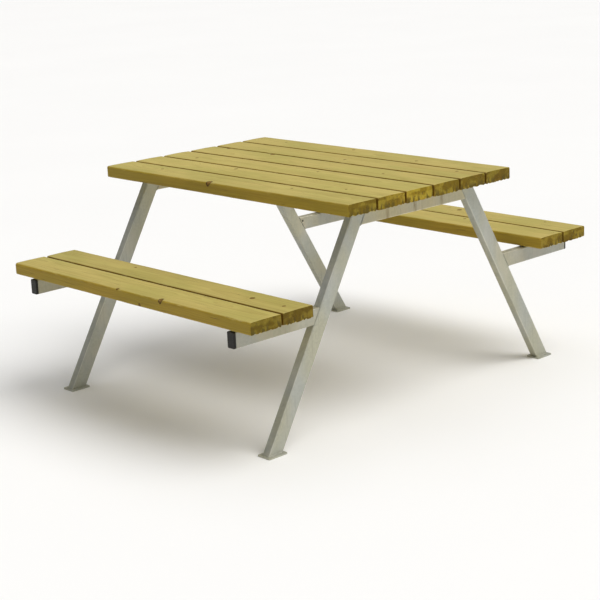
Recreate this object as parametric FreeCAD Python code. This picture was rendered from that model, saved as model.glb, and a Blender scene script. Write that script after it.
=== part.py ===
"""Picnic table: ten timber planks on two galvanised tube frames with attached benches.

Frame of the model: +X runs along the planks, +Y from the front bench to the rear bench,
+Z is up.  The origin is on the ground under the middle of the table.  Millimetres.
"""
import FreeCAD, Part
import math
import os

# ---- timber --------------------------------------------------------------
plank_length = 1200.0
plank_width = 120.0
plank_thickness = 40.0
plank_arris_radius = 4.0
plank_gap = 6.0
top_plank_count = 6
seat_plank_count = 2

# ---- overall sizes -------------------------------------------------------
table_height = 730.0
seat_height = 460.0
overall_width = 1560.0      # over the outer edges of the two benches
frame_inset = 80.0          # from the plank ends in to a frame's outer face
foot_setback = 110.0        # from a bench's outer edge in to a leg's, at ground level
leg_lean = 30.0             # degrees from upright

# ---- steel tube ----------------------------------------------------------
tube_width = 30.0           # along X, the same for every tube
leg_depth = 50.0
rail_depth = 50.0
arm_depth = 50.0
tube_wall = 2.5
tube_corner_radius = 4.0
vent_hole_diameter = 8.0
vent_hole_edge_distance = 4.0
vent_hole_height_share = 0.7   # of the arm's depth, from its underside

# ---- flat steel ----------------------------------------------------------
strap_thickness = 5.0
strap_side_margin = 5.5     # beyond the screw washers
strap_end_inset = 25.0
strap_corner_radius = 8.0
foot_plate_thickness = 5.0
foot_plate_side_margin = 12.0
foot_plate_outer_margin = 8.0
foot_plate_inner_margin = 7.0
foot_plate_corner_radius = 3.0

# ---- plastic end caps ----------------------------------------------------
cap_setback = 4.0           # cap face behind the bench's outer edge
cap_flange_thickness = 8.0
cap_edge_radius = 1.5
cap_skirt_length = 14.0
cap_skirt_wall = 2.0
cap_skirt_clearance = 0.3

# ---- screws --------------------------------------------------------------
screw_diameter = 6.0
screw_point_length = 6.0
screw_head_across_flats = 8.0
screw_head_height = 4.0
screw_washer_diameter = 13.0
screw_washer_thickness = 1.2
screw_steel_clearance = 0.5     # on the diameter, in steel
screw_timber_clearance = 0.2    # on the diameter, in timber
screw_tip_clearance = 1.0
screw_timber_cover = 10.0       # timber left above a screw's tip
screw_tube_gap = 6.5            # from the washer's edge to the tube's side
screw_edge_distance = 40.0      # from a plank's edge

# ---- heights and places that follow --------------------------------------
frame_drop = plank_thickness + strap_thickness      # from a plank's top to the steel below
frame_top = table_height - frame_drop
arm_top = seat_height - frame_drop
arm_underside = arm_top - arm_depth
plank_pitch = plank_width + plank_gap
top_width = top_plank_count * plank_pitch - plank_gap
seat_width = seat_plank_count * plank_pitch - plank_gap
frame_x = plank_length / 2 - frame_inset - tube_width / 2
foot_edge_y = -overall_width / 2 + foot_setback
lean = math.radians(leg_lean)
leg_slice = leg_depth / math.cos(lean)      # level width of a leaning leg
cap_face_y = -overall_width / 2 + cap_setback
arm_end_y = cap_face_y + cap_flange_thickness
screw_length = frame_drop - screw_timber_cover
screw_offset = tube_width / 2 + screw_tube_gap + screw_washer_diameter / 2
screw_stagger = plank_width / 2 - screw_edge_distance
strap_width = 2 * screw_offset + screw_washer_diameter + 2 * strap_side_margin

X = FreeCAD.Vector(1, 0, 0)
Y = FreeCAD.Vector(0, 1, 0)
Z = FreeCAD.Vector(0, 0, 1)
ORIGIN = FreeCAD.Vector(0, 0, 0)

FRONT = -1
REAR = 1
ROWS = {"front": FRONT, "rear": REAR}
SIDES = {"left": -1, "right": 1}


def save(name, shape):
    """Write one node's STEP file."""
    shape.exportStep("parts/%s.step" % name)


def leg_outer_y(height):
    """Y of the front leg's outer edge at a height."""
    return foot_edge_y + height * math.tan(lean)


def in_corner(shape, side, row):
    """Copy a front right shape, built about X = 0, to one corner of the table."""
    moved = shape.copy()
    if row == REAR:
        moved = moved.mirror(ORIGIN, Y)
    moved.translate(X * frame_x)
    if side < 0:
        moved = moved.mirror(ORIGIN, X)
    return moved


def block(x_size, y_size, z_size, edge_axis, radius):
    """Box centred on the origin whose edges along one axis are rounded."""
    box = Part.makeBox(x_size, y_size, z_size, FreeCAD.Vector(-x_size / 2, -y_size / 2, -z_size / 2))
    long_edges = [e for e in box.Edges if abs(e.tangentAt(e.FirstParameter).dot(edge_axis)) > 0.5]
    return box.makeFillet(radius, long_edges)


def tube_along_y(depth, y_start, y_end, underside):
    """Hollow rectangular tube lying along Y, centred on X = 0."""
    length = y_end - y_start
    bore_width = tube_width - 2 * tube_wall
    bore_depth = depth - 2 * tube_wall
    tube = block(tube_width, length, depth, Y, tube_corner_radius)
    tube = tube.cut(block(bore_width, length, bore_depth, Y, tube_corner_radius - tube_wall))
    tube.translate(FreeCAD.Vector(0, (y_start + y_end) / 2, underside + depth / 2))
    return tube


def post_hole(x, y, z_start, z_end, diameter):
    """Upright round cutter."""
    return Part.makeCylinder(diameter / 2, z_end - z_start, FreeCAD.Vector(x, y, z_start), Z)


# ---- screws --------------------------------------------------------------
def screw():
    """Hex washer-head screw that points up, with its seat at Z = 0."""
    washer = Part.makeCylinder(screw_washer_diameter / 2, screw_washer_thickness,
                               FreeCAD.Vector(0, 0, -screw_washer_thickness), Z)
    corner_radius = screw_head_across_flats / 2 / math.cos(math.pi / 6)
    corners = [FreeCAD.Vector(corner_radius * math.cos(i * math.pi / 3),
                              corner_radius * math.sin(i * math.pi / 3),
                              -screw_washer_thickness) for i in range(6)]
    hexagon = Part.Face(Part.makePolygon(corners + corners[:1]))
    head = hexagon.extrude(Z * -screw_head_height)
    straight = screw_length - screw_point_length
    shank = Part.makeCylinder(screw_diameter / 2, straight, ORIGIN, Z)
    point = Part.makeCone(screw_diameter / 2, 0, screw_point_length, Z * straight, Z)
    return washer.fuse([head, shank, point]).removeSplitter()


def plank_middles(count, first_edge):
    """Y of the middle of each plank in a row that starts at an edge."""
    return [first_edge + plank_width / 2 + i * plank_pitch for i in range(count)]


top_plank_middles = plank_middles(top_plank_count, -top_width / 2)
seat_plank_middles = {
    "front": plank_middles(seat_plank_count, -overall_width / 2),
    "rear": plank_middles(seat_plank_count, overall_width / 2 - seat_width),
}


def screw_places(side, middles):
    """X and Y of the screws through one strap: two to a plank, either side of the tube."""
    return [(side * frame_x + way * screw_offset, middle + way * screw_stagger)
            for middle in middles for way in (-1, 1)]


def screws_at(places, seat_z):
    """Separate screws at a list of places, as one group."""
    return Part.makeCompound([screw().translated(FreeCAD.Vector(x, y, seat_z)) for x, y in places])


# ---- planks --------------------------------------------------------------
def plank(middle_y, top_z):
    """One plank along X with a pilot hole over each of its screws."""
    board = block(plank_length, plank_width, plank_thickness, X, plank_arris_radius)
    board.translate(FreeCAD.Vector(0, middle_y, top_z - plank_thickness / 2))
    underside = top_z - plank_thickness
    hole_top = top_z - screw_timber_cover + screw_tip_clearance
    for side in SIDES.values():
        for x, y in screw_places(side, [middle_y]):
            board = board.cut(post_hole(x, y, underside, hole_top, screw_diameter + screw_timber_clearance))
    return board


def make_planks():
    for index, middle in enumerate(top_plank_middles, start=1):
        save("top_plank_%d" % index, plank(middle, table_height))
    for row_name in ROWS:
        for index, middle in enumerate(seat_plank_middles[row_name], start=1):
            save("%s_seat_plank_%d" % (row_name, index), plank(middle, seat_height))


# ---- end frames ----------------------------------------------------------
def front_leg():
    """Leaning tube, cut level at the foot plate and at the top strap."""
    reach = table_height / math.cos(lean) + leg_depth
    bore_width = tube_width - 2 * tube_wall
    bore_depth = leg_depth - 2 * tube_wall
    leg = block(tube_width, leg_depth, 2 * reach, Z, tube_corner_radius)
    leg = leg.cut(block(bore_width, bore_depth, 2 * reach, Z, tube_corner_radius - tube_wall))
    leg.rotate(ORIGIN, X, -leg_lean)
    leg.translate(Y * (leg_outer_y(0) + leg_slice / 2))
    height = frame_top - foot_plate_thickness
    slab = Part.makeBox(tube_width, 2 * overall_width, height,
                        FreeCAD.Vector(-tube_width / 2, -overall_width, foot_plate_thickness))
    return leg.common(slab)


def beside_leg(inner):
    """Block that fills one side of the front leg's inner or outer face."""
    reach = 2 * overall_width
    edge_y = leg_outer_y(0) + (leg_slice if inner else 0)
    start_y = 0 if inner else -reach
    side = Part.makeBox(2 * tube_width, reach, 2 * reach, FreeCAD.Vector(-tube_width, start_y, -reach))
    side.rotate(ORIGIN, X, -leg_lean)
    side.translate(Y * edge_y)
    return side


def top_rail():
    """Level tube between the two legs, cut to their lean at both ends."""
    half_length = abs(leg_outer_y(0))
    rail = tube_along_y(rail_depth, -half_length, half_length, frame_top - rail_depth)
    inside = beside_leg(inner=True)
    return rail.common(inside).common(inside.mirror(ORIGIN, Y))


def front_seat_arm():
    """Level tube from the leg out under the bench, with a vent hole beside the leg."""
    arm = tube_along_y(arm_depth, arm_end_y, 0, arm_underside)
    arm = arm.common(beside_leg(inner=False))
    vent_z = arm_underside + arm_depth * vent_hole_height_share
    vent_y = leg_outer_y(vent_z) - vent_hole_edge_distance - vent_hole_diameter / 2
    vent_start = FreeCAD.Vector(-tube_width, vent_y, vent_z)
    return arm.cut(Part.makeCylinder(vent_hole_diameter / 2, tube_width, vent_start, X))


def front_foot_plate():
    """Level plate welded under the leg."""
    outer_y = leg_outer_y(foot_plate_thickness) - foot_plate_outer_margin
    inner_y = leg_outer_y(foot_plate_thickness) + leg_slice + foot_plate_inner_margin
    plate = block(tube_width + 2 * foot_plate_side_margin, inner_y - outer_y, foot_plate_thickness,
                  Z, foot_plate_corner_radius)
    plate.translate(FreeCAD.Vector(0, (outer_y + inner_y) / 2, foot_plate_thickness / 2))
    return plate


def front_arm_cap():
    """Plug with a flange the size of the tube and a hollow skirt inside it."""
    flange = block(tube_width, cap_flange_thickness, arm_depth, Y, tube_corner_radius)
    flange.translate(Y * (cap_flange_thickness / 2))
    face_edges = [e for e in flange.Edges if e.BoundBox.YMax < cap_edge_radius]
    flange = flange.makeFillet(cap_edge_radius, face_edges)
    skirt_width = tube_width - 2 * (tube_wall + cap_skirt_clearance)
    skirt_depth = arm_depth - 2 * (tube_wall + cap_skirt_clearance)
    skirt = block(skirt_width, cap_skirt_length, skirt_depth, Y, tube_corner_radius - tube_wall)
    hollow = Part.makeBox(skirt_width - 2 * cap_skirt_wall, cap_skirt_length,
                          skirt_depth - 2 * cap_skirt_wall,
                          FreeCAD.Vector(cap_skirt_wall - skirt_width / 2, -cap_skirt_length / 2,
                                         cap_skirt_wall - skirt_depth / 2))
    skirt = skirt.cut(hollow)
    skirt.translate(Y * (cap_flange_thickness + cap_skirt_length / 2))
    cap = flange.fuse(skirt)
    cap.translate(FreeCAD.Vector(0, cap_face_y, arm_underside + arm_depth / 2))
    return cap


def strap(side, middles, underside):
    """Flat bar welded on a frame, which one row of planks is screwed down to."""
    length = middles[-1] - middles[0] + plank_width - 2 * strap_end_inset
    bar = block(strap_width, length, strap_thickness, Z, strap_corner_radius)
    middle_y = (middles[0] + middles[-1]) / 2
    bar.translate(FreeCAD.Vector(side * frame_x, middle_y, underside + strap_thickness / 2))
    hole_diameter = screw_diameter + screw_steel_clearance
    for x, y in screw_places(side, middles):
        bar = bar.cut(post_hole(x, y, underside, underside + strap_thickness, hole_diameter))
    return bar


def make_frames():
    corner_pieces = {
        "leg": front_leg(),
        "seat_arm": front_seat_arm(),
        "foot_plate": front_foot_plate(),
        "arm_cap": front_arm_cap(),
    }
    rail = top_rail()
    for side_name, side in SIDES.items():
        save("%s_top_rail" % side_name, in_corner(rail, side, FRONT))
        save("%s_top_strap" % side_name, strap(side, top_plank_middles, frame_top))
        for row_name, row in ROWS.items():
            save("%s_%s_seat_strap" % (side_name, row_name),
                 strap(side, seat_plank_middles[row_name], arm_top))
            for piece_name, shape in corner_pieces.items():
                save("%s_%s_%s" % (side_name, row_name, piece_name), in_corner(shape, side, row))


# ---- fasteners -----------------------------------------------------------
def make_screws():
    top_places = [place for side in SIDES.values() for place in screw_places(side, top_plank_middles)]
    seat_places = [place for side in SIDES.values() for row_name in ROWS
                   for place in screw_places(side, seat_plank_middles[row_name])]
    save("top_screws", screws_at(top_places, frame_top))
    save("seat_screws", screws_at(seat_places, arm_top))


os.makedirs("parts", exist_ok=True)
make_planks()
make_frames()
make_screws()
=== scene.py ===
import math
import random

import bmesh
import bpy
from mathutils import Matrix, Vector, noise


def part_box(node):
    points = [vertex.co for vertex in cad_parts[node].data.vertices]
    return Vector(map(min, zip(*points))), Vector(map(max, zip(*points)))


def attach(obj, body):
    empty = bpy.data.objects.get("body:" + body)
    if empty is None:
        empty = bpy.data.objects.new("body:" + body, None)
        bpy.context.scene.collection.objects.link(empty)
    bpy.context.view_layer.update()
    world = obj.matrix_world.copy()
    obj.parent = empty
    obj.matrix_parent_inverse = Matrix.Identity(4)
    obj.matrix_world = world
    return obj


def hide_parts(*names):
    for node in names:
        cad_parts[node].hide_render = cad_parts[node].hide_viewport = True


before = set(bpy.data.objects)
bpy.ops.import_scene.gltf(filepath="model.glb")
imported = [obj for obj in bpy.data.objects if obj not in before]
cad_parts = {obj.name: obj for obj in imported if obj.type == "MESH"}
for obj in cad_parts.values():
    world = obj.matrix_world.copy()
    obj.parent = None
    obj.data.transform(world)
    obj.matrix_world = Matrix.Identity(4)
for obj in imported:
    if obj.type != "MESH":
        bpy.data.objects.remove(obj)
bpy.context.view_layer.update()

MM = 0.001
BODY = "root"
SIDES = ("left", "right")
ROWS = {"front": -1, "rear": 1}


# ---- camera and light ------------------------------------------------------------
# The photo's viewing angle, as fitted to the straight edges of the table.
CAMERA_PLACE = Vector((3.732, -3.454, 1.618))
CAMERA_TURN = math.radians(46.74)       # to the left, from looking along +Y
CAMERA_DIP = math.radians(13.39)
CAMERA_ROLL = math.radians(-2.50)
SENSOR_WIDTH = 36.0
FOCAL_LENGTH = 91.05
CAMERA_SHIFT = (-0.030, -0.070)
CAMERA_CLIP_END = 100.0
WORLD_STRENGTH = 0.28
# Azimuth runs from +X towards +Y; azimuth, height and spread are in degrees.
KEY_SUN = dict(azimuth=20.0, height=58.0, spread=50.0, strength=2.25, colour=(1.0, 0.985, 0.96))
TOP_SUN = dict(azimuth=120.0, height=80.0, spread=70.0, strength=0.75, colour=(1.0, 1.0, 1.0))


def make_camera():
    data = bpy.data.cameras.new("camera")
    data.sensor_width = SENSOR_WIDTH
    data.lens = FOCAL_LENGTH
    data.shift_x, data.shift_y = CAMERA_SHIFT
    data.clip_end = CAMERA_CLIP_END
    camera = bpy.data.objects.new("camera", data)
    bpy.context.scene.collection.objects.link(camera)
    upright = Matrix.Rotation(math.pi / 2 - CAMERA_DIP, 4, "X")
    rolled = Matrix.Rotation(CAMERA_ROLL, 4, "Z")
    camera.matrix_world = (Matrix.Translation(CAMERA_PLACE)
                           @ Matrix.Rotation(CAMERA_TURN, 4, "Z") @ upright @ rolled)
    bpy.context.scene.camera = camera


def soft_sun(name, azimuth, height, spread, strength, colour):
    """A sun as wide as a big softbox."""
    data = bpy.data.lights.new(name, "SUN")
    data.angle = math.radians(spread)
    data.energy = strength
    data.color = colour
    light = bpy.data.objects.new(name, data)
    bpy.context.scene.collection.objects.link(light)
    light.rotation_euler = (0.0, math.radians(90.0 - height), math.radians(azimuth))


def make_world():
    world = bpy.data.worlds.new("studio")
    world.use_nodes = True
    background = world.node_tree.nodes["Background"]
    background.inputs["Color"].default_value = (1.0, 1.0, 1.0, 1.0)
    background.inputs["Strength"].default_value = WORLD_STRENGTH
    bpy.context.scene.world = world
    bpy.context.scene.view_settings.view_transform = "Standard"


# ---- node graph helper ---------------------------------------------------------
class Graph:
    """A Principled material being put together.  Most methods add a node and give its output."""

    def __init__(self, name):
        self.material = bpy.data.materials.new(name)
        self.material.use_nodes = True
        self.tree = self.material.node_tree
        self.shader = self.tree.nodes["Principled BSDF"]

    def add(self, kind, sockets, output=0, **settings):
        node = self.tree.nodes.new(kind)
        for key, value in settings.items():
            setattr(node, key, value)
        for key, value in sockets.items():
            self.feed(node.inputs[key], value)
        return node.outputs[output]

    def feed(self, socket, value):
        if isinstance(value, bpy.types.NodeSocket):
            self.tree.links.new(value, socket)
        else:
            socket.default_value = value

    def math(self, operation, a, b=0.0):
        return self.add("ShaderNodeMath", {0: a, 1: b}, operation=operation)

    def vector(self, operation, a, b=(0.0, 0.0, 0.0), output=0):
        return self.add("ShaderNodeVectorMath", {0: a, 1: b}, output=output, operation=operation)

    def split(self, value):
        node = self.tree.nodes.new("ShaderNodeSeparateXYZ")
        self.feed(node.inputs[0], value)
        return node.outputs

    def total(self, *terms):
        """Sum of terms that are each a weight and a value."""
        result = 0.0
        for weight, value in terms:
            result = self.math("ADD", result, self.math("MULTIPLY", value, weight))
        return result

    def place(self, origin=(0.0, 0.0, 0.0)):
        """Place in mm from an origin that is given in metres."""
        coords = self.add("ShaderNodeTexCoord", {}, output="Object")
        return self.vector("MULTIPLY", self.vector("SUBTRACT", coords, origin), (1 / MM, 1 / MM, 1 / MM))

    def normal(self):
        return self.add("ShaderNodeNewGeometry", {}, output="Normal")

    def noise(self, place, stretch, detail=3.0, roughness=0.5, output=0):
        """Noise about 0.5; stretch is how many lumps there are per unit of place along X, Y and Z."""
        scaled = self.vector("MULTIPLY", place, stretch)
        return self.add("ShaderNodeTexNoise",
                        {"Vector": scaled, "Scale": 1.0, "Detail": detail, "Roughness": roughness},
                        output=output)

    def band(self, value, low, high, to_low=0.0, to_high=1.0):
        """Smooth step from to_low where value is low to to_high where it is high; low may be the larger."""
        return self.add("ShaderNodeMapRange",
                        {"Value": value, "From Min": low, "From Max": high,
                         "To Min": to_low, "To Max": to_high},
                        interpolation_type="SMOOTHSTEP")

    def mix(self, share, a, b, blend="MIX"):
        """Colour a, turning to b, or blended with b, as share goes from 0 to 1."""
        node = self.tree.nodes.new("ShaderNodeMix")
        node.data_type = "RGBA"
        node.blend_type = blend
        self.feed(node.inputs[0], share)
        self.feed(node.inputs[6], a)
        self.feed(node.inputs[7], b)
        return node.outputs[2]

    def finish(self, colour, roughness, height, depth, **fixed):
        """Wire up the shader; depth is the bump's depth in metres for a height of 1."""
        self.feed(self.shader.inputs["Base Color"], colour)
        self.feed(self.shader.inputs["Roughness"], roughness)
        bump = self.add("ShaderNodeBump", {"Height": height, "Distance": depth, "Strength": 1.0})
        self.feed(self.shader.inputs["Normal"], bump)
        for socket, value in fixed.items():
            self.shader.inputs[socket.replace("_", " ")].default_value = value
        return self.material


def grey(value):
    return (value, value, value, 1.0)


# ---- timber colours --------------------------------------------------------------
STRAW = (0.575, 0.472, 0.146, 1.0)
MOSSY = (0.490, 0.430, 0.120, 1.0)
LATEWOOD = (0.310, 0.222, 0.050, 1.0)
HEARTWOOD = (0.470, 0.315, 0.090, 1.0)
# Painted shade: the sides of the boards are darkened by this tint.
SIDE_SHADE_TINT = (0.770, 0.645, 0.215, 1.0)
END_DARK = (0.385, 0.295, 0.030, 1.0)
END_LIGHT = (0.630, 0.545, 0.170, 1.0)
KNOT = (0.135, 0.060, 0.008, 1.0)
KNOT_LIGHT = (0.260, 0.130, 0.022, 1.0)
KNOT_RIM = (0.042, 0.019, 0.003, 1.0)
CHECK = (0.070, 0.045, 0.010, 1.0)
WORN = (0.640, 0.540, 0.240, 1.0)
# Painted shade: faces that look into a gap between boards are darkened by this tint.
GAP_SHADE_TINT = (0.420, 0.320, 0.070, 1.0)
END_STAIN = (0.085, 0.060, 0.008, 1.0)


# ---- timber material ---------------------------------------------------------------
FIELD_SPREAD = 900.0            # how far off, in mm, the noise of a board may be taken from
PITH_BEND = 26.0                # in mm
RING_SPACING = (3.0, 4.4)       # least and most, in mm
RING_UNEVENNESS = 2.2           # in rings
RING_UNEVEN_STRETCH = 0.09      # lumps per mm of radius
RING_SHARPNESS = 2.6            # power by which latewood grows through a ring
RAYS_AROUND = 9.0               # lumps per radian in the noise that places the cracks of an end
RAYS_OUTWARD = 0.035            # lumps per mm of radius in the same noise
RAY_SEED_STEP = 1.7
KNOT_LEAN = 3.0                 # how far a knot slants along the board, in mm
KNOT_RING_SPACING = 1.7         # in mm
# As shares of a knot's radius.
KNOT_WOBBLE = 0.7
KNOT_REACH = 2.1
KNOT_PUSH = 0.95
# Bump heights in mm.
FIBRE_HEIGHT = 0.10
SAW_HEIGHT = 0.03
RING_HEIGHT = 0.09
KNOT_HEIGHT = 0.10
KNOT_RIM_HEIGHT = -0.30
CHECK_HEIGHT = -0.90


def pith_distance(g, place, field, pith):
    """Offsets from the pith line and the distance from it, bent by slow noise, in mm."""
    pith_y, pith_z, drift_y, drift_z = pith
    bend = g.noise(field, (0.0022, 0.011, 0.011), detail=2.0, output="Color")
    bend = g.vector("MULTIPLY", g.vector("SUBTRACT", bend, (0.5, 0.5, 0.5)), (0.0, PITH_BEND, PITH_BEND))
    along, across, up = g.split(g.vector("ADD", place, bend))
    off_y = g.math("SUBTRACT", g.math("SUBTRACT", across, pith_y), g.math("MULTIPLY", along, drift_y))
    off_z = g.math("SUBTRACT", g.math("SUBTRACT", up, pith_z), g.math("MULTIPLY", along, drift_z))
    square = g.math("ADD", g.math("MULTIPLY", off_y, off_y), g.math("MULTIPLY", off_z, off_z))
    return off_y, off_z, g.math("SQRT", square)


def knot_axis(knot, pith, thickness):
    """Where a knot reaches the upper face, and its direction out from the pith."""
    knot_x, knot_y, _ = knot
    pith_y, pith_z, drift_y, drift_z = pith
    root = Vector((knot_x, pith_y + drift_y * knot_x, pith_z + drift_z * knot_x))
    tip = Vector((knot_x + KNOT_LEAN, knot_y, thickness / 2))
    return tip, (tip - root).normalized()


def add_knot(g, place, wobble, radius, masks, knot, axis):
    """Push the rings aside round one knot, and add it to the body, rim and ring masks."""
    size = knot[2]
    tip, lean = axis
    off_axis = g.vector("CROSS_PRODUCT", g.vector("SUBTRACT", place, tuple(tip)), tuple(lean))
    distance = g.vector("LENGTH", off_axis, output="Value")
    uneven = g.math("MULTIPLY", g.math("SUBTRACT", wobble, 0.5), size * KNOT_WOBBLE)
    distance = g.math("ADD", distance, uneven)
    reach = g.math("DIVIDE", distance, size * KNOT_REACH)
    push = g.math("POWER", math.e, g.math("MULTIPLY", g.math("MULTIPLY", reach, reach), -1.0))
    radius = g.math("ADD", radius, g.math("MULTIPLY", push, size * KNOT_PUSH))
    inside = g.band(distance, size * 1.05, size * 0.80)
    rim = g.math("MULTIPLY", g.band(distance, size * 0.65, size * 0.92),
                 g.band(distance, size * 1.20, size * 0.98))
    waves = g.math("SINE", g.math("MULTIPLY", distance, 2 * math.pi / KNOT_RING_SPACING))
    masks["rings"] = g.math("ADD", masks["rings"], g.math("MULTIPLY", waves, inside))
    masks["body"] = g.math("MAXIMUM", masks["body"], inside)
    masks["rim"] = g.math("MAXIMUM", masks["rim"], rim)
    return radius


def annual_rings(g, radius, spacing):
    """Latewood share: it grows through each ring, then stops sharply."""
    place = g.math("MULTIPLY", radius, RING_UNEVEN_STRETCH)
    uneven = g.add("ShaderNodeTexNoise", {"W": place, "Scale": 1.0, "Detail": 1.0}, noise_dimensions="1D")
    count = g.math("ADD", g.math("DIVIDE", radius, spacing), g.math("MULTIPLY", uneven, RING_UNEVENNESS))
    phase = g.math("FRACT", count)
    return g.math("MULTIPLY", g.math("POWER", phase, RING_SHARPNESS), g.band(phase, 1.0, 0.93))


def facing(g, axis, low, high):
    """How far a surface faces along an axis, either way."""
    share = g.math("ABSOLUTE", g.vector("DOT_PRODUCT", g.normal(), axis, output="Value"))
    return g.band(share, low, high)


def facing_gap(g, gaps):
    """How far a surface faces a neighbouring board; gaps holds the ways along Y that have one."""
    across = g.vector("DOT_PRODUCT", g.normal(), (0.0, 1.0, 0.0), output="Value")
    shares = [g.band(g.math("MULTIPLY", across, way), 0.25, 0.80) for way in gaps]
    return shares[0] if len(shares) == 1 else g.math("MAXIMUM", *shares)


def drying_checks(g, field, off_y, off_z, radius, seed, end):
    """Short slits along the faces, and radial cracks on the ends."""
    slit = g.noise(field, (0.009, 0.55, 0.55), detail=1.0)
    slit = g.math("MULTIPLY", g.band(slit, 0.745, 0.765), g.math("SUBTRACT", 1.0, end))
    turn = g.math("MULTIPLY", g.math("ARCTAN2", off_z, off_y), RAYS_AROUND)
    out = g.math("MULTIPLY", radius, RAYS_OUTWARD)
    ray_place = g.add("ShaderNodeCombineXYZ", {0: turn, 1: out, 2: seed * RAY_SEED_STEP})
    ray = g.noise(ray_place, (1.0, 1.0, 1.0), detail=1.5, roughness=0.4)
    ray = g.math("ABSOLUTE", g.math("SUBTRACT", ray, 0.5))
    gate = g.band(g.noise(field, (0.0, 0.05, 0.05), detail=1.0), 0.48, 0.58)
    crack = g.math("MULTIPLY", g.math("MULTIPLY", g.band(ray, 0.014, 0.004), gate), end)
    return g.math("MAXIMUM", crack, slit)


def timber_material(name, seed, board):
    """Treated softwood.  The rings run round the pith line, so faces, edges and ends agree.

    Along is 1 on the faces and edges, where fibres run along the surface, and low on the ends.
    """
    g = Graph(name)
    pick = random.Random(seed)
    plan = board["plan"]
    place = g.place(tuple(board["middle"]))
    field = g.vector("ADD", place, tuple(pick.uniform(-FIELD_SPREAD, FIELD_SPREAD) for _ in range(3)))
    off_y, off_z, radius = pith_distance(g, place, field, plan["pith"])
    wobble = g.noise(field, (0.16, 0.16, 0.16), detail=3.0)
    knots = {"body": 0.0, "rim": 0.0, "rings": 0.0}
    for knot in plan["knots"]:
        axis = knot_axis(knot, plan["pith"], board["thickness"])
        radius = add_knot(g, place, wobble, radius, knots, knot, axis)
    latewood = annual_rings(g, radius, pick.uniform(*RING_SPACING))
    end = facing(g, (1.0, 0.0, 0.0), 0.60, 0.85)
    side = facing(g, (0.0, 1.0, 0.0), 0.20, 0.75)
    opening = drying_checks(g, field, off_y, off_z, radius, seed, end)
    fibre = g.noise(field, (0.035, 1.3, 1.3), detail=3.0, roughness=0.65)
    saw = g.noise(field, (0.3, 0.10, 1.6), detail=2.0)

    along = g.band(end, 0.0, 1.0, 1.0, 0.2)
    colour = face_colour(g, field, radius, latewood, fibre, along)
    # Painted shade: faces that look along Y, the sides of the boards, are darkened.
    colour = g.mix(side, colour, g.mix(1.0, colour, SIDE_SHADE_TINT, "MULTIPLY"))
    # Painted shade: faces that look into the gap beside a neighbouring board are darkened, as if little
    # light reaches them.
    gap_shaded = g.mix(1.0, colour, GAP_SHADE_TINT, "MULTIPLY")
    colour = g.mix(facing_gap(g, board["gaps"]), colour, gap_shaded)
    colour = end_colour(g, field, colour, saw, end, plan["end_shade"])
    colour = g.mix(end_stains(g, place, field, end), colour, END_STAIN)
    knot_colour = g.mix(g.band(knots["rings"], -0.8, 0.9), KNOT, KNOT_LIGHT)
    colour = g.mix(g.math("MULTIPLY", knots["body"], 0.92), colour, knot_colour)
    colour = g.mix(g.math("MULTIPLY", knots["rim"], 0.90), colour, KNOT_RIM)
    colour = g.mix(g.math("MULTIPLY", opening, 0.85), colour, CHECK)
    arris = g.add("ShaderNodeAttribute", {}, output="Fac", attribute_name="arris")
    wear = g.noise(field, (0.02, 0.25, 0.25), detail=4.0, roughness=0.7)
    worn = g.band(wear, 0.52, 0.70, 0.0, 0.45)
    rubbed = g.math("MULTIPLY", g.math("MULTIPLY", arris, worn), along)
    colour = g.mix(rubbed, colour, WORN)
    colour = g.mix(1.0, colour, grey(plan["shade"]), "MULTIPLY")

    height = g.total((FIBRE_HEIGHT, g.math("MULTIPLY", fibre, along)),
                     (SAW_HEIGHT, g.math("MULTIPLY", saw, end)),
                     (RING_HEIGHT, latewood),
                     (KNOT_HEIGHT, knots["body"]),
                     (KNOT_RIM_HEIGHT, knots["rim"]),
                     (CHECK_HEIGHT, opening))
    rough_end = g.math("MAXIMUM", end, knots["body"])
    roughness = g.math("ADD", g.band(fibre, 0.3, 0.7, 0.52, 0.66), g.math("MULTIPLY", rough_end, 0.25))
    return g.finish(colour, roughness, height, 1.0 * MM, Specular_IOR_Level=0.22)


def face_colour(g, field, radius, latewood, fibre, along):
    """Patchy treatment, heartwood near the pith, rings, streaks and fibres, fainter on the ends."""
    patch = g.noise(field, (0.0035, 0.010, 0.010), detail=2.0)
    streak = g.noise(field, (0.0035, 0.16, 0.16), detail=4.0, roughness=0.6)
    fleck = g.noise(field, (0.045, 0.5, 0.5), detail=4.0, roughness=0.7)
    colour = g.mix(g.band(patch, 0.35, 0.68), STRAW, MOSSY)
    colour = g.mix(g.band(radius, 44.0, 26.0, 0.0, 0.45), colour, HEARTWOOD)
    ring_share = g.band(along, 0.2, 1.0, 0.26, 0.42)
    colour = g.mix(g.math("MULTIPLY", latewood, ring_share), colour, LATEWOOD)
    colour = g.mix(g.band(streak, 0.42, 0.74, 0.0, 0.46), colour, LATEWOOD)
    hairs = g.band(fibre, 0.30, 0.75, 0.20, 0.0)
    colour = g.mix(g.math("MULTIPLY", hairs, along), colour, LATEWOOD)
    flecks = g.band(fleck, 0.60, 0.80, 0.0, 0.55)
    return g.mix(g.math("MULTIPLY", flecks, along), colour, LATEWOOD)


def end_colour(g, field, colour, saw, end, shade):
    """Sawn ends soak up the treatment: darker, blotchy and rough."""
    blotch = g.noise(field, (0.02, 0.028, 0.045), detail=1.5)
    tint = g.mix(g.band(blotch, 0.44, 0.62), END_DARK, END_LIGHT)
    tint = g.mix(1.0, tint, grey(shade), "MULTIPLY")
    colour = g.mix(end, colour, g.mix(1.0, colour, tint, "MULTIPLY"))
    saw_marks = g.math("MULTIPLY", end, g.band(saw, 0.35, 0.65, 0.0, 0.12))
    return g.mix(saw_marks, colour, CHECK)


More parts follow.
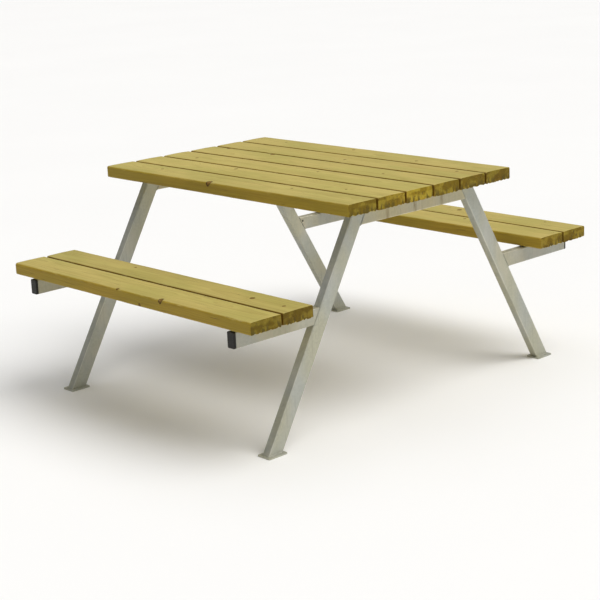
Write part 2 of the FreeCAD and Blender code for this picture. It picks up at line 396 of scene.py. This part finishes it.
def end_stains(g, place, field, end):
    """Dark streaks where water has hung, strongest on the lower half of a sawn end."""
    streak = g.noise(field, (0.02, 0.10, 0.020), detail=1.0)
    height = g.split(place)[2]
    low_down = g.band(height, 6.0, -15.0, 0.10, 0.85)
    stained = g.math("MULTIPLY", g.band(streak, 0.49, 0.57), low_down)
    return g.math("MULTIPLY", stained, end)


# ---- timber shape ------------------------------------------------------------------
# Corners of a plank's section, as the way across and the way up, in order round it.
CORNERS = ((1, -1), (1, 1), (-1, 1), (-1, -1))
LOWER_REAR, UPPER_REAR, UPPER_FRONT, LOWER_FRONT = range(4)
FACE_STEPS = 18
EDGE_STEPS = 6
ARC_STEPS = 5
# Sizes and periods in mm.
STATION_GAP = 6.0
ARRIS_RADIUS = 5.5
ARRIS_WANDER = 0.8
ARRIS_PERIOD = 90.0
PLAIN_RIPPLE = 0.5
RIPPLE_PERIOD = 24.0
SIDE_INSET = 0.4
SIDE_WANDER = 0.3
SIDE_PERIOD = 260.0
WEAR_DEPTH = 0.15
WEAR_PERIOD = 60.0
KNOT_RISE = 0.22
KNOT_RISE_REACH = 1.6           # as a share of the knot's radius
END_CHAMFER = 1.2
END_SETBACK = END_CHAMFER * 0.8
END_CHIP = 4.5
CHIP_REACH = 6.0
CHIP_PERIOD = 6.5
CHIP_LEVEL = 0.15               # the larger, the more of the lower edge is torn
CUT_PERIOD = 400.0
# How far an end may be out of square, per mm across and per mm up.
CUT_SKEW = 0.012
CUT_TILT = 0.02
# Lanes of the wandering noise.  Arrises take 0 to 3 and their ripples RIPPLE_LANE and up.  The two
# sides take one below and one above SIDE_LANE, and the two ends CHIP_LANE and the next.
RIPPLE_LANE = 9
SIDE_LANE = 20
WEAR_LANE = 40
SKEW_LANE = 50
TILT_LANE = 51
CHIP_LANE = 60
LANE_STEP = 7.31
SEED_STEP = 13.7
NOISE_GAIN = 1.6


def wander(seed, lane, x, period):
    """Smooth noise between about -1 and 1 along a line; each lane is a noise of its own."""
    return NOISE_GAIN * noise.noise(Vector((x / period, lane * LANE_STEP, seed * SEED_STEP)))


def arris_radius(seed, lane, x, plan):
    """Radius of one arris at x: a wandering plane cut, ripples, and any wane."""
    radius = ARRIS_RADIUS + ARRIS_WANDER * wander(seed, lane, x, ARRIS_PERIOD)
    ripple = plan.get("ripple", PLAIN_RIPPLE) if lane == UPPER_FRONT else PLAIN_RIPPLE
    radius += ripple * abs(wander(seed, lane + RIPPLE_LANE, x, RIPPLE_PERIOD))
    for wane_lane, wane_x, reach, depth in plan["wanes"]:
        if wane_lane == lane:
            radius += depth * math.exp(-((x - wane_x) / reach) ** 2)
    return radius


def outline(seed, x, half, plan):
    """Points round the section at x, each with how much it lies on an arris."""
    arcs = []
    for lane, (side, level) in enumerate(CORNERS):
        radius = arris_radius(seed, lane, x, plan)
        edge = half.y - SIDE_INSET + SIDE_WANDER * wander(seed, SIDE_LANE + side, x, SIDE_PERIOD)
        centre_y = side * (edge - radius)
        centre_z = level * (half.z - radius)
        start = math.atan2(level, side) - math.pi / 4
        arc = []
        for step in range(ARC_STEPS + 1):
            angle = start + step * math.pi / 2 / ARC_STEPS
            on_arris = math.sin(step * math.pi / ARC_STEPS)
            y = centre_y + radius * math.cos(angle)
            z = centre_z + radius * math.sin(angle)
            arc.append((y, z, on_arris))
        arcs.append(arc)
    ring = []
    for lane, arc in enumerate(arcs):
        steps = EDGE_STEPS if lane in (LOWER_REAR, UPPER_FRONT) else FACE_STEPS
        ring += arc + between(arc[-1], arcs[(lane + 1) % 4][0], steps)
    return ring


def between(start, end, steps):
    """Evenly spaced points between two, without either, and on no arris."""
    points = []
    for step in range(1, steps):
        share = step / steps
        y = start[0] + share * (end[0] - start[0])
        z = start[1] + share * (end[1] - start[1])
        points.append((y, z, 0.0))
    return points


def weather(seed, x, y, z, half, plan):
    """Height of a point once the board has cupped, worn and risen a little round its knots."""
    top = max(0.0, z / half.z)
    wear = WEAR_DEPTH * (1 + wander(seed, WEAR_LANE, x + 3 * y, WEAR_PERIOD))
    drop = plan["cup"] * (y / half.y) ** 2 + wear
    for knot_x, knot_y, size in plan["knots"]:
        reach = math.hypot(x - knot_x, y - knot_y) / (KNOT_RISE_REACH * size)
        drop -= KNOT_RISE * math.exp(-reach * reach)
    return z - top * max(0.0, drop) + chip_height(seed, x, y, z, half)


def chip_height(seed, x, y, z, half):
    """How far torn fibres have left the lower edge of an end ragged, fading away along the plank."""
    reach = math.exp(-((half.x - abs(x)) / CHIP_REACH) ** 2)
    torn = max(0.0, CHIP_LEVEL + wander(seed, CHIP_LANE + (x > 0), y, CHIP_PERIOD))
    return END_CHIP * torn * reach * max(0.0, -z / half.z) ** 3


def end_point(seed, x, y, z):
    """A point of an end face: chamfered, and cut a little out of square."""
    skew = CUT_SKEW * wander(seed, SKEW_LANE, x, CUT_PERIOD) * y
    tilt = CUT_TILT * wander(seed, TILT_LANE, x, CUT_PERIOD) * z
    return (x - math.copysign(abs(skew + tilt), x),
            y - math.copysign(END_SETBACK, y),
            z - math.copysign(END_SETBACK, z))


def stations(half_length):
    """Distances along a plank at which its section is drawn."""
    count = round(2 * half_length / STATION_GAP)
    inner = [-half_length + STATION_GAP * i for i in range(1, count)]
    return [-half_length, -half_length + END_CHAMFER, *inner, half_length - END_CHAMFER, half_length]


def plank_ring(bm, layer, seed, x, half, plan):
    """Vertices round the section at x, each with its share of the arris in a layer."""
    ring = []
    for y, z, on_arris in outline(seed, x, half, plan):
        z = weather(seed, x, y, z, half, plan)
        at_end = abs(x) == half.x
        point = end_point(seed, x, y, z) if at_end else (x, y, z)
        vert = bm.verts.new([value * MM for value in point])
        vert[layer] = 1.0 if at_end else on_arris
        ring.append(vert)
    return ring


def skin(bm, rings):
    """Faces between neighbouring rings, and the two end faces."""
    for first, second in zip(rings, rings[1:]):
        for i, vert in enumerate(first):
            j = (i + 1) % len(first)
            bm.faces.new((vert, first[j], second[j], second[i]))
    bm.faces.new(list(reversed(rings[0])))
    bm.faces.new(rings[-1])


def add_piece(name, bm):
    """A visible piece from finished mesh data; its end faces, which have many corners, stay flat."""
    bmesh.ops.recalc_face_normals(bm, faces=bm.faces)
    for face in bm.faces:
        face.smooth = len(face.verts) == 4
    mesh = bpy.data.meshes.new(name)
    bm.to_mesh(mesh)
    bm.free()
    piece = bpy.data.objects.new(name, mesh)
    bpy.context.scene.collection.objects.link(piece)
    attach(piece, BODY)
    return piece


def neighbours(node):
    """The ways along Y, -1 or 1, in which another plank lies beside this one."""
    low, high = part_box(node)
    ways = set()
    for other in PLANKS:
        other_low, other_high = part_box(other)
        level = abs(other_low.z - low.z) < GAP_LIMIT
        if level and 0.0 < other_low.y - high.y < GAP_LIMIT:
            ways.add(1)
        if level and 0.0 < low.y - other_high.y < GAP_LIMIT:
            ways.add(-1)
    return sorted(ways)


def make_plank(node, seed, plan):
    """A planed board with softened, slightly uneven arrises in place of a CAD plank."""
    low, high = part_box(node)
    middle = (low + high) / 2
    half = (high - low) / 2 / MM
    bm = bmesh.new()
    layer = bm.verts.layers.float.new("arris")
    skin(bm, [plank_ring(bm, layer, seed, x, half, plan) for x in stations(half.x)])
    bmesh.ops.translate(bm, verts=bm.verts, vec=middle)
    piece = add_piece(node + "_board", bm)
    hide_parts(node)
    board = {"plan": plan, "middle": middle, "thickness": 2 * half.z, "gaps": neighbours(node)}
    piece.data.materials.append(timber_material(node + "_timber", seed, board))


GAP_LIMIT = 20.0 * MM       # planks further apart than this are not neighbours

# pith: y, z, drift in y, drift in z; knots: x, y, radius; wanes: corner, x, reach, depth.
# All in mm from the middle of the plank.  A knot's place is where it comes out at the height of
# the upper face, so one that lies past the edge shows on the plank's side.
# shade and end_shade: brightness of the whole plank, and of its ends besides; cup: how far both
# edges of the upper face drop; ripple: how rough the upper front arris is.
PLANKS = {
    "top_plank_1": dict(pith=(14, -58, 0.010, 0.012), shade=0.98, end_shade=0.92, cup=0.8, ripple=1.0,
                        knots=[(-51, -56, 11), (262, 24, 4), (-380, 12, 5)],
                        wanes=[(UPPER_FRONT, -51, 14, 4.0), (UPPER_FRONT, -420, 120, 1.5)]),
    "top_plank_2": dict(pith=(-22, 66, -0.008, 0.010), shade=1.02, end_shade=1.05, cup=1.0,
                        knots=[(420, -18, 4), (-160, 30, 5)], wanes=[]),
    "top_plank_3": dict(pith=(8, -44, 0.006, -0.014), shade=1.02, end_shade=1.35, cup=1.2,
                        knots=[(120, 22, 4), (-455, -25, 5)], wanes=[]),
    "top_plank_4": dict(pith=(-30, -72, 0.012, 0.006), shade=1.00, end_shade=1.00, cup=1.0,
                        knots=[(-515, 52, 7), (-272, 50, 8), (330, -10, 4)], wanes=[]),
    "top_plank_5": dict(pith=(25, 52, -0.010, -0.008), shade=0.99, end_shade=0.92, cup=0.8,
                        knots=[(30, -14, 4), (505, 28, 5)], wanes=[]),
    "top_plank_6": dict(pith=(-6, -38, 0.004, 0.016), shade=0.98, end_shade=0.78, cup=1.0,
                        knots=[(-90, 24, 6), (260, -26, 5), (-430, 8, 4)], wanes=[]),
    "front_seat_plank_1": dict(pith=(18, -50, 0.010, -0.010), shade=0.95, end_shade=0.74, cup=0.8,
                               ripple=3.4, knots=[(-32, -57, 5), (83, -133, 5), (185, -60, 9)],
                               wanes=[(UPPER_FRONT, 185, 20, 2.0), (UPPER_FRONT, -480, 140, 1.5)]),
    "front_seat_plank_2": dict(pith=(-16, -64, -0.006, 0.012), shade=0.89, end_shade=0.73, cup=1.0,
                               knots=[(398, -1, 8), (541, -5, 5.5), (-210, 24, 4)], wanes=[]),
    "rear_seat_plank_1": dict(pith=(10, 60, 0.008, 0.008), shade=0.98, end_shade=0.84, cup=0.8,
                              knots=[(-300, -20, 8), (180, 30, 5)], wanes=[]),
    "rear_seat_plank_2": dict(pith=(-24, -46, -0.012, 0.010), shade=0.97, end_shade=0.90, cup=1.0,
                              knots=[(60, 12, 8), (-480, -30, 6), (450, 26, 4)], wanes=[]),
}


def make_timber():
    for seed, (node, plan) in enumerate(PLANKS.items(), start=1):
        make_plank(node, seed, plan)


# ---- weld beads --------------------------------------------------------------------
LEG_LEAN = math.radians(30.0)
FILLET_SIZE = 5.0 * MM
FLUSH_HEIGHT = 0.9 * MM
STITCH_LENGTH = 40.0 * MM
STITCH_PLACE = 0.6          # of the outer stitches on a rail, as a share of its half length
BEAD_RIPPLE = 2.4 * MM
BEAD_SWELL = 0.13
BEAD_UNEVENNESS = 0.10
BEAD_LUMP = 8.0 * MM
BEAD_TIP = 0.02             # square of the share of its width that a bead keeps at its tips
BEAD_BLUNTNESS = 8          # the larger, the shorter the taper at its tips
BEAD_STATION = 0.7 * MM
BEAD_LEAST_STATIONS = 6
BEAD_POINTS = 8
FILLET = (FILLET_SIZE, FILLET_SIZE / 2)
FLUSH = (FILLET_SIZE, FLUSH_HEIGHT)


class Bead:
    """One straight run of weld: its two ends, which way it stands proud, width and height."""

    def __init__(self, start, end, proud, width, height):
        self.start = Vector(start)
        self.end = Vector(end)
        self.proud = Vector(proud).normalized()
        self.width = width
        self.height = height


def add_bead(bm, bead, seed):
    """A closed, rippled run whose lower half is sunk in the steel."""
    run = bead.end - bead.start
    across = run.normalized().cross(bead.proud)
    count = max(BEAD_LEAST_STATIONS, round(run.length / BEAD_STATION))
    rings = []
    for i in range(count + 1):
        share = i / count
        taper = math.sqrt(max(BEAD_TIP, 1 - abs(2 * share - 1) ** BEAD_BLUNTNESS))
        wave = 1 + BEAD_SWELL * math.sin(2 * math.pi * share * run.length / BEAD_RIPPLE)
        wave += BEAD_UNEVENNESS * noise.noise(Vector((share * run.length / BEAD_LUMP, seed, 0.0)))
        centre = bead.start + share * run
        ring = []
        for k in range(BEAD_POINTS):
            turn = 2 * math.pi * k / BEAD_POINTS
            sideways = across * math.cos(turn) * bead.width / 2
            offset = sideways + bead.proud * math.sin(turn) * bead.height
            ring.append(bm.verts.new(centre + offset * taper * wave))
        rings.append(ring)
    skin(bm, rings)


def leg_edge(corner, row):
    """A function that gives Y of the leg's outer or inner edge at a height."""
    low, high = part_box(corner + "_leg")
    foot = max(abs(low.y), abs(high.y))
    tip = min(abs(low.y), abs(high.y))
    slope = math.tan(LEG_LEAN)
    level_width = foot - (high.z - low.z) * slope - tip

    def edge(z, inner=False):
        return row * (foot - (z - low.z) * slope - (level_width if inner else 0.0))
    return edge


def foot_beads(corner, row, edge):
    """All round the leg, on the foot plate."""
    low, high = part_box(corner + "_leg")
    outer = edge(low.z)
    inner = edge(low.z, inner=True)
    return [Bead((low.x, outer, low.z), (high.x, outer, low.z), (0, row, 1), *FILLET),
            Bead((low.x, inner, low.z), (high.x, inner, low.z), (0, -row, 1), *FILLET),
            Bead((low.x, outer, low.z), (low.x, inner, low.z), (-1, 0, 1), *FILLET),
            Bead((high.x, outer, low.z), (high.x, inner, low.z), (1, 0, 1), *FILLET)]


def joint_beads(node, row, edge, inner):
    """Where a level tube meets the leg: under it, on top, and flat along both faces."""
    low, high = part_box(node)
    out = -row if inner else row
    beads = []
    for z, way in ((low.z, -1), (high.z, 1)):
        y = edge(z, inner)
        beads.append(Bead((low.x, y, z), (high.x, y, z), (0, out, way), *FILLET))
    for x, way in ((low.x, -1), (high.x, 1)):
        start = (x, edge(low.z, inner), low.z)
        end = (x, edge(high.z, inner), high.z)
        beads.append(Bead(start, end, (way, 0, 0), *FLUSH))
    return beads


def stitch_beads(tube, middles):
    """Short runs that hold a strap down on both sides of a tube."""
    low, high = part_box(tube)
    beads = []
    for y in middles:
        for x, way in ((low.x, -1), (high.x, 1)):
            start = (x, y - STITCH_LENGTH / 2, high.z)
            end = (x, y + STITCH_LENGTH / 2, high.z)
            beads.append(Bead(start, end, (way, 0, -1), *FILLET))
    return beads


def frame_beads(side):
    """Every weld of one end frame."""
    _, rail_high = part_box(side + "_top_rail")
    reach = rail_high.y * STITCH_PLACE
    beads = stitch_beads(side + "_top_rail", (-reach, 0.0, reach))
    for row_name, row in ROWS.items():
        corner = side + "_" + row_name
        edge = leg_edge(corner, row)
        beads += foot_beads(corner, row, edge)
        beads += joint_beads(corner + "_seat_arm", row, edge, inner=False)
        beads += joint_beads(side + "_top_rail", row, edge, inner=True)
        strap_low, strap_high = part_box(corner + "_seat_strap")
        middle = (strap_low.y + strap_high.y) / 2
        beads += stitch_beads(corner + "_seat_arm", (middle - STITCH_LENGTH, middle + STITCH_LENGTH))
    return beads


def make_welds(material):
    """One piece of weld beads for each end frame."""
    for side in SIDES:
        bm = bmesh.new()
        for seed, bead in enumerate(frame_beads(side)):
            add_bead(bm, bead, seed)
        piece = add_piece(side + "_welds", bm)
        piece.data.materials.append(material)


# ---- galvanised steel ------------------------------------------------------------
ZINC_DARK = (0.425, 0.430, 0.368, 1.0)
ZINC_LIGHT = (0.495, 0.500, 0.432, 1.0)
ZINC_BLOOM = (0.560, 0.545, 0.475, 1.0)
ZINC_RUN = (0.350, 0.345, 0.295, 1.0)
# Painted highlight colour for the rounded corners of the tubes.
ZINC_HIGHLIGHT = (0.760, 0.750, 0.660, 1.0)
WARM_CAST = (1.030, 1.000, 0.900, 1.0)
COOL_CAST = (0.975, 0.995, 1.050, 1.0)
RAIL_STREAK = (0.190, 0.135, 0.060, 1.0)
TUBE_TINT = (0.975, 0.975, 0.960, 1.0)
# Painted reflected light: the arms are made warmer and a little darker, as if lit by light bounced off the
# timber above.
ARM_BOUNCE_TINT = (0.950, 0.920, 0.870, 1.0)
RAIL_TINT = (1.080, 0.990, 0.810, 1.0)
PLATE_TINT = (0.940, 0.940, 0.930, 1.0)
WELD_TINT = (0.780, 0.780, 0.765, 1.0)
SPANGLE_SCALE = 0.15            # cells per mm
SPANGLE_WARP = 9.0              # in mm
# Half widths of a dark streak under a gap in mm, at its faint edge and in its full core.
RAIL_STREAK_EDGE = 11.0
RAIL_STREAK_CORE = 2.0
# Bump heights in mm.
FEATHER_HEIGHT = 0.05
RUN_HEIGHT = 0.20
DROSS_HEIGHT = 0.30


def galvanised_material(name, tint, corner_highlight_strength=0.55, streak_pitch=None):
    """Hot-dip zinc: faint spangle, chalky bloom, soft runs, a painted highlight on the rounded corners and
    small dross bumps.

    The strength of the corner highlight is how much a painted highlight lightens the rounded corners.
    With a pitch for the streaks, there are dark streaks that far apart, under the gaps between planks.
    """
    g = Graph(name)
    place = g.place()
    ripple = g.noise(place, (0.09, 0.09, 0.09), detail=2.0, output="Color")
    warp = g.vector("MULTIPLY", ripple, (SPANGLE_WARP, SPANGLE_WARP, SPANGLE_WARP))
    warped = g.vector("ADD", place, warp)
    cell = g.add("ShaderNodeTexVoronoi", {"Vector": warped, "Scale": SPANGLE_SCALE, "Randomness": 1.0},
                 output="Color")
    grain = g.vector("DOT_PRODUCT", cell, (0.45, 0.35, 0.20), output="Value")
    feather = g.noise(place, (0.9, 0.9, 0.9), detail=3.0)
    bloom = g.noise(place, (0.012, 0.012, 0.006), detail=4.0, roughness=0.6)
    run = g.noise(place, (0.11, 0.11, 0.008), detail=3.0, roughness=0.6)
    dross = g.noise(place, (0.22, 0.22, 0.22), detail=1.0)
    colour = g.mix(g.band(grain, 0.25, 0.75), ZINC_DARK, ZINC_LIGHT)
    colour = g.mix(g.band(feather, 0.35, 0.70, 0.0, 0.30), colour, ZINC_DARK)
    colour = g.mix(g.band(bloom, 0.45, 0.68, 0.0, 0.60), colour, ZINC_BLOOM)
    colour = g.mix(g.band(run, 0.54, 0.70, 0.0, 0.40), colour, ZINC_RUN)
    cast = g.band(g.noise(place, (0.006, 0.006, 0.004), detail=2.0), 0.38, 0.62)
    colour = g.mix(1.0, colour, g.mix(cast, WARM_CAST, COOL_CAST), "MULTIPLY")
    # Painted highlight: the rounded corners are lightened in patches, as if glinting in the key light; the
    # same mask makes them a little smoother.
    edge = corner_highlight(g, bloom)
    if corner_highlight_strength:
        colour = g.mix(g.math("MULTIPLY", edge, corner_highlight_strength), colour, ZINC_HIGHLIGHT)
    # Dark vertical streaks on the face, one under each gap between planks.
    if streak_pitch:
        colour = g.mix(gap_streaks(g, place, streak_pitch / MM), colour, RAIL_STREAK)
    colour = g.mix(1.0, colour, tint, "MULTIPLY")
    shine = g.math("ADD", g.math("MULTIPLY", grain, 0.4), g.math("MULTIPLY", bloom, 0.6))
    dulled = g.band(shine, 0.30, 0.65, 0.38, 0.60)
    roughness = g.math("SUBTRACT", dulled, g.math("MULTIPLY", edge, 0.12))
    height = g.total((FEATHER_HEIGHT, feather),
                     (RUN_HEIGHT, run),
                     (DROSS_HEIGHT, g.band(dross, 0.70, 0.80)))
    return g.finish(colour, roughness, height, 1.0 * MM, Metallic=0.60)


def corner_highlight(g, bloom):
    """Rounded corners, which face between X and the other two axes, as a patchy mask for a painted
    highlight.
    """
    across = g.math("ABSOLUTE", g.split(g.normal())[0])
    corner = g.math("MULTIPLY", g.band(across, 0.15, 0.45), g.band(across, 0.98, 0.85))
    return g.math("MULTIPLY", corner, g.band(bloom, 0.35, 0.60, 0.35, 1.0))


def gap_streaks(g, place, pitch):
    """Uneven dark streaks under the gaps, which lie at whole numbers of pitches from Y = 0."""
    across = g.split(place)[1]
    phase = g.math("FRACT", g.math("ADD", g.math("DIVIDE", across, pitch), 0.5))
    off_gap = g.math("MULTIPLY", g.math("ABSOLUTE", g.math("SUBTRACT", phase, 0.5)), pitch)
    streak = g.noise(place, (0.30, 0.30, 0.02), detail=3.0, roughness=0.6)
    return g.math("MULTIPLY", g.band(off_gap, RAIL_STREAK_EDGE, RAIL_STREAK_CORE), g.band(streak, 0.38, 0.60, 0.10, 0.70))


# ---- caps and screws -----------------------------------------------------------------
PLASTIC_BLACK = (0.009, 0.009, 0.006, 1.0)
PLASTIC_DUST = (0.038, 0.035, 0.026, 1.0)
PLASTIC_SCRATCH = (0.085, 0.082, 0.078, 1.0)
PLATING_YELLOW = (0.70, 0.68, 0.60, 1.0)
PLATING_BLUE = (0.58, 0.62, 0.66, 1.0)


def plastic_material(name):
    """Black moulded polyethylene with a fine spark-eroded texture, dust and scratches."""
    g = Graph(name)
    place = g.place()
    texture = g.noise(place, (2.2, 2.2, 2.2), detail=2.0)
    dust = g.noise(place, (0.09, 0.09, 0.13), detail=4.0, roughness=0.65)
    scratch = g.noise(place, (0.5, 0.5, 0.03), detail=2.0)
    colour = g.mix(g.band(dust, 0.48, 0.75, 0.0, 0.35), PLASTIC_BLACK, PLASTIC_DUST)
    colour = g.mix(g.band(scratch, 0.68, 0.74, 0.0, 0.5), colour, PLASTIC_SCRATCH)
    roughness = g.band(dust, 0.40, 0.75, 0.42, 0.68)
    return g.finish(colour, roughness, texture, 0.10 * MM, Specular_IOR_Level=0.3)


def zinc_material(name):
    """Bright zinc plating with a faint yellow and blue cast."""
    g = Graph(name)
    place = g.place()
    cast = g.noise(place, (0.25, 0.25, 0.25), detail=2.0)
    wear = g.noise(place, (0.9, 0.9, 0.9), detail=3.0)
    colour = g.mix(g.band(cast, 0.35, 0.65), PLATING_YELLOW, PLATING_BLUE)
    roughness = g.band(wear, 0.3, 0.7, 0.24, 0.42)
    return g.finish(colour, roughness, wear, 0.05 * MM, Metallic=1.0)


# ---- pieces that keep their CAD meshes -----------------------------------------------
def set_material(node, material):
    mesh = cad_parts[node].data
    mesh.materials.clear()
    mesh.materials.append(material)


def dress_steel():
    """Materials for the frames, caps and screws, and the welds on the frames."""
    tube = galvanised_material("galvanised_tube", TUBE_TINT)
    # The arms carry a painted warm reflection of the timber.
    arm = galvanised_material("galvanised_arm", ARM_BOUNCE_TINT, corner_highlight_strength=0.15)
    plate = galvanised_material("galvanised_plate", PLATE_TINT)
    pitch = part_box("top_plank_2")[0].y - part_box("top_plank_1")[0].y
    rail = galvanised_material("galvanised_rail", RAIL_TINT, streak_pitch=pitch)
    plastic = plastic_material("black_cap_plastic")
    for side in SIDES:
        set_material(side + "_top_rail", rail)
        set_material(side + "_top_strap", plate)
        for row_name in ROWS:
            corner = side + "_" + row_name
            set_material(corner + "_leg", tube)
            set_material(corner + "_seat_arm", arm)
            set_material(corner + "_seat_strap", plate)
            set_material(corner + "_foot_plate", plate)
            set_material(corner + "_arm_cap", plastic)
    zinc = zinc_material("zinc_plate")
    set_material("top_screws", zinc)
    set_material("seat_screws", zinc)
    make_welds(galvanised_material("galvanised_weld", WELD_TINT, corner_highlight_strength=0.0))


# ---- floor -----------------------------------------------------------------------
FLOOR_REACH = 40.0              # in metres
FLOOR_GREY = (0.88, 0.88, 0.878, 1.0)
FLOOR_PALE = (0.91, 0.91, 0.908, 1.0)


def make_floor():
    g = Graph("pale_floor")
    coords = g.add("ShaderNodeTexCoord", {}, output="Object")
    cloud = g.noise(coords, (0.8, 0.8, 0.8), detail=3.0)
    grit = g.noise(coords, (160.0, 160.0, 160.0), detail=2.0)
    colour = g.mix(cloud, FLOOR_GREY, FLOOR_PALE)
    roughness = g.band(grit, 0.3, 0.7, 0.80, 0.92)
    material = g.finish(colour, roughness, grit, 0.05 * MM)
    mesh = bpy.data.meshes.new("floor")
    corners = [(FLOOR_REACH * x, FLOOR_REACH * y, 0) for x, y in ((-1, -1), (1, -1), (1, 1), (-1, 1))]
    mesh.from_pydata(corners, [], [(0, 1, 2, 3)])
    mesh.materials.append(material)
    floor = bpy.data.objects.new("floor", mesh)
    bpy.context.scene.collection.objects.link(floor)


make_camera()
make_world()
soft_sun("key", **KEY_SUN)
soft_sun("top", **TOP_SUN)
make_floor()
make_timber()
dress_steel()
